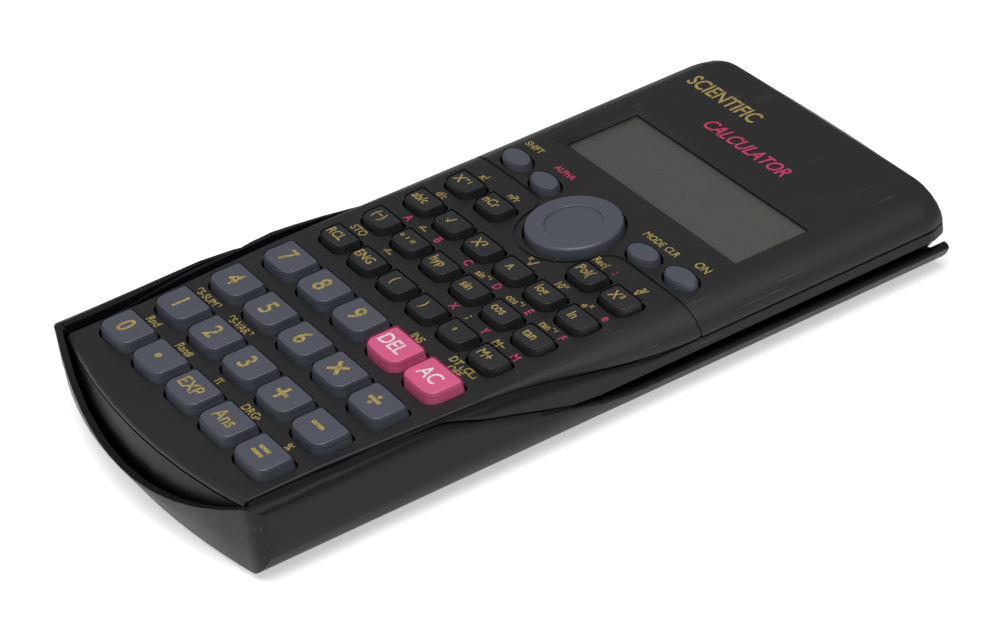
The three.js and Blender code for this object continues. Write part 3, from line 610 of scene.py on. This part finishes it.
# Labels on the face: words, ink, x, y, capital height.
FACE_LABELS = [
    ("SHIFT", "gold", -29.9, 29.5, 1.5), ("ALPHA", "pink", -18.0, 28.8, 1.4),
    ("MODE", "gold", 13.2, 28.3, 1.5), ("CLR", "gold", 18.9, 28.3, 1.5),
    ("ON", "gold", 27.1, 29.4, 1.8),
    ("x!", "gold", -27.4, 16.5, 1.7), ("nPr", "gold", -16.9, 16.7, 1.6),
    ("Rec(", "gold", 13.1, 16.5, 1.6), (":", "pink", 17.8, 16.6, 1.8), ("∛", "gold", 26.0, 16.5, 2.2),
    ("d/c", "gold", -27.4, 7.1, 1.6), ("ˣ√", "gold", 3.9, 7.2, 2.0),
    ("10ˣ", "gold", 14.7, 7.1, 1.6), ("eˣ", "gold", 23.4, 6.9, 1.8), ("e", "pink", 29.0, 7.0, 1.9),
    ("A", "pink", -24.8, -1.8, 1.7), ("←", "gold", -19.6, -2.0, 2.2), ("B", "pink", -14.2, -1.7, 1.7),
    ("C", "pink", -3.8, -1.6, 1.7), ("sin⁻¹", "gold", 2.0, -1.8, 1.6), ("D", "pink", 6.8, -1.8, 1.7),
    ("cos⁻¹", "gold", 13.1, -1.9, 1.6), ("E", "pink", 17.9, -1.9, 1.7),
    ("tan⁻¹", "gold", 24.3, -2.0, 1.6), ("F", "pink", 29.0, -2.0, 1.7),
    ("STO", "gold", -27.5, -11.1, 1.7), ("←", "gold", -17.2, -11.0, 2.2), ("X", "pink", 6.8, -11.0, 1.7),
    (";", "gold", 11.8, -11.1, 1.8), ("Y", "pink", 17.6, -11.1, 1.7), ("M−", "gold", 23.1, -11.4, 1.7),
    ("M", "pink", 28.4, -11.4, 1.7),
    ("INS", "gold", 11.3, -21.3, 1.6), ("DT ⌞CL⌟", "gold", 24.9, -19.9, 1.6),
    ("OFF", "gold", 24.7, -21.8, 1.6),
    ("⌜S-SUM⌝", "gold", -26.5, -43.8, 1.6), ("⌜S-VAR⌝", "gold", -14.2, -43.8, 1.6),
    ("Rnd", "gold", -26.4, -55.1, 1.7), ("Ran#", "gold", -14.1, -55.2, 1.7),
    ("π", "gold", -1.1, -55.1, 1.9), ("DRG▸", "gold", 11.6, -55.3, 1.7), ("%", "gold", 25.1, -55.4, 1.8),
]
printed = {"gold": [], "pink": []}
for words, ink, x, y, height in FACE_LABELS:
    printed[ink].append(lettering(words, x, y, FACE_Z + INK_HEIGHT / 2, height))
# Generic words stand where a maker would print a name.
printed["gold"].append(lettering("SCIENTIFIC", -19.6, 66.6, FACE_Z + INK_HEIGHT / 2, 3.4, 22.0))
printed["pink"].append(lettering("CALCULATOR", -1.6, 59.2, FACE_Z + INK_HEIGHT / 2, 3.0, 26.0, 0.25))
for ink, finish in (("gold", gold_ink), ("pink", pink_ink)):
    settle(joined(printed[ink]), "face_print_" + ink, finish, "calculator")


# ---------- stage, light and camera ----------

def floor_finish():
    """Seamless white paper sweep: matt, with a faint tooth."""
    material, tree, surface = new_material("white_paper_sweep")
    place = node(tree, "ShaderNodeTexCoord").outputs["Object"]
    tooth = node(tree, "ShaderNodeTexNoise", {"Vector": place, "Scale": 900.0, "Detail": 3.0})
    relief = node(tree, "ShaderNodeBump",
                  {"Height": tooth.outputs["Fac"], "Strength": 0.05, "Distance": 0.1 * MM})
    tree.links.new(relief.outputs["Normal"], surface.inputs["Normal"])
    surface.inputs["Base Color"].default_value = linear("#f4f4f4")
    surface.inputs["Roughness"].default_value = 0.9
    # Lit through from behind, as a light table is.
    surface.inputs["Emission Color"].default_value = linear("#ffffff")
    surface.inputs["Emission Strength"].default_value = 0.5
    return material


bpy.ops.mesh.primitive_plane_add(size=SWEEP_SIZE * MM, location=(0, 0, SWEEP_Z * MM))
sweep = bpy.context.object
sweep.name = "paper_sweep"
sweep.data.materials.append(floor_finish())

scene = bpy.context.scene
world = bpy.data.worlds.new("studio_white")
scene.world = world
world.use_nodes = True
world.node_tree.nodes["Background"].inputs["Color"].default_value = linear("#ffffff")
world.node_tree.nodes["Background"].inputs["Strength"].default_value = 0.22


def softbox(name, place, aim, size, watts):
    """A square area light at a place, in metres, facing a point."""
    lamp = bpy.data.lights.new(name, "AREA")
    lamp.shape = "SQUARE"
    lamp.size = size
    lamp.energy = watts
    holder = bpy.data.objects.new(name, lamp)
    scene.collection.objects.link(holder)
    holder.location = place
    holder.rotation_euler = (Vector(aim) - Vector(place)).to_track_quat("-Z", "Y").to_euler()
    return holder


softbox("overhead_softbox", (0.25, -0.15, 1.0), (0, 0, 0), 0.8, 8.5)
softbox("near_end_softbox", (-0.1, -0.9, 0.35), (0, 0, 0.01), 0.5, 0.8)
softbox("side_softbox", (0.9, 0.35, 0.3), (0, 0, 0.01), 0.4, 0.25)

# The viewpoint: a long lens, level with a tripod at one side of the near end.
AZIMUTH = 62.74
ELEVATION = 33.07
ROLL = -8.30
LENS_MM = 130.0
CAMERA_PLACE = Vector((0.49466, -0.25348, 0.36602))
forward = Vector((-math.sin(math.radians(AZIMUTH)) * math.cos(math.radians(ELEVATION)),
                  math.cos(math.radians(AZIMUTH)) * math.cos(math.radians(ELEVATION)),
                  -math.sin(math.radians(ELEVATION))))
level_right = forward.cross(Vector((0, 0, 1))).normalized()
level_up = level_right.cross(forward)
roll = math.radians(ROLL)
right = level_right * math.cos(roll) + level_up * math.sin(roll)
up = level_up * math.cos(roll) - level_right * math.sin(roll)
camera_data = bpy.data.cameras.new("view")
camera_data.lens = LENS_MM
camera_data.sensor_width = 36.0
camera_data.clip_start = 0.01
camera = bpy.data.objects.new("view", camera_data)
scene.collection.objects.link(camera)
axes = Matrix((right, up, -forward)).transposed().to_4x4()
camera.matrix_world = Matrix.Translation(CAMERA_PLACE) @ axes
scene.camera = camera
scene.view_settings.view_transform = "Standard"

bpy.context.view_layer.update()
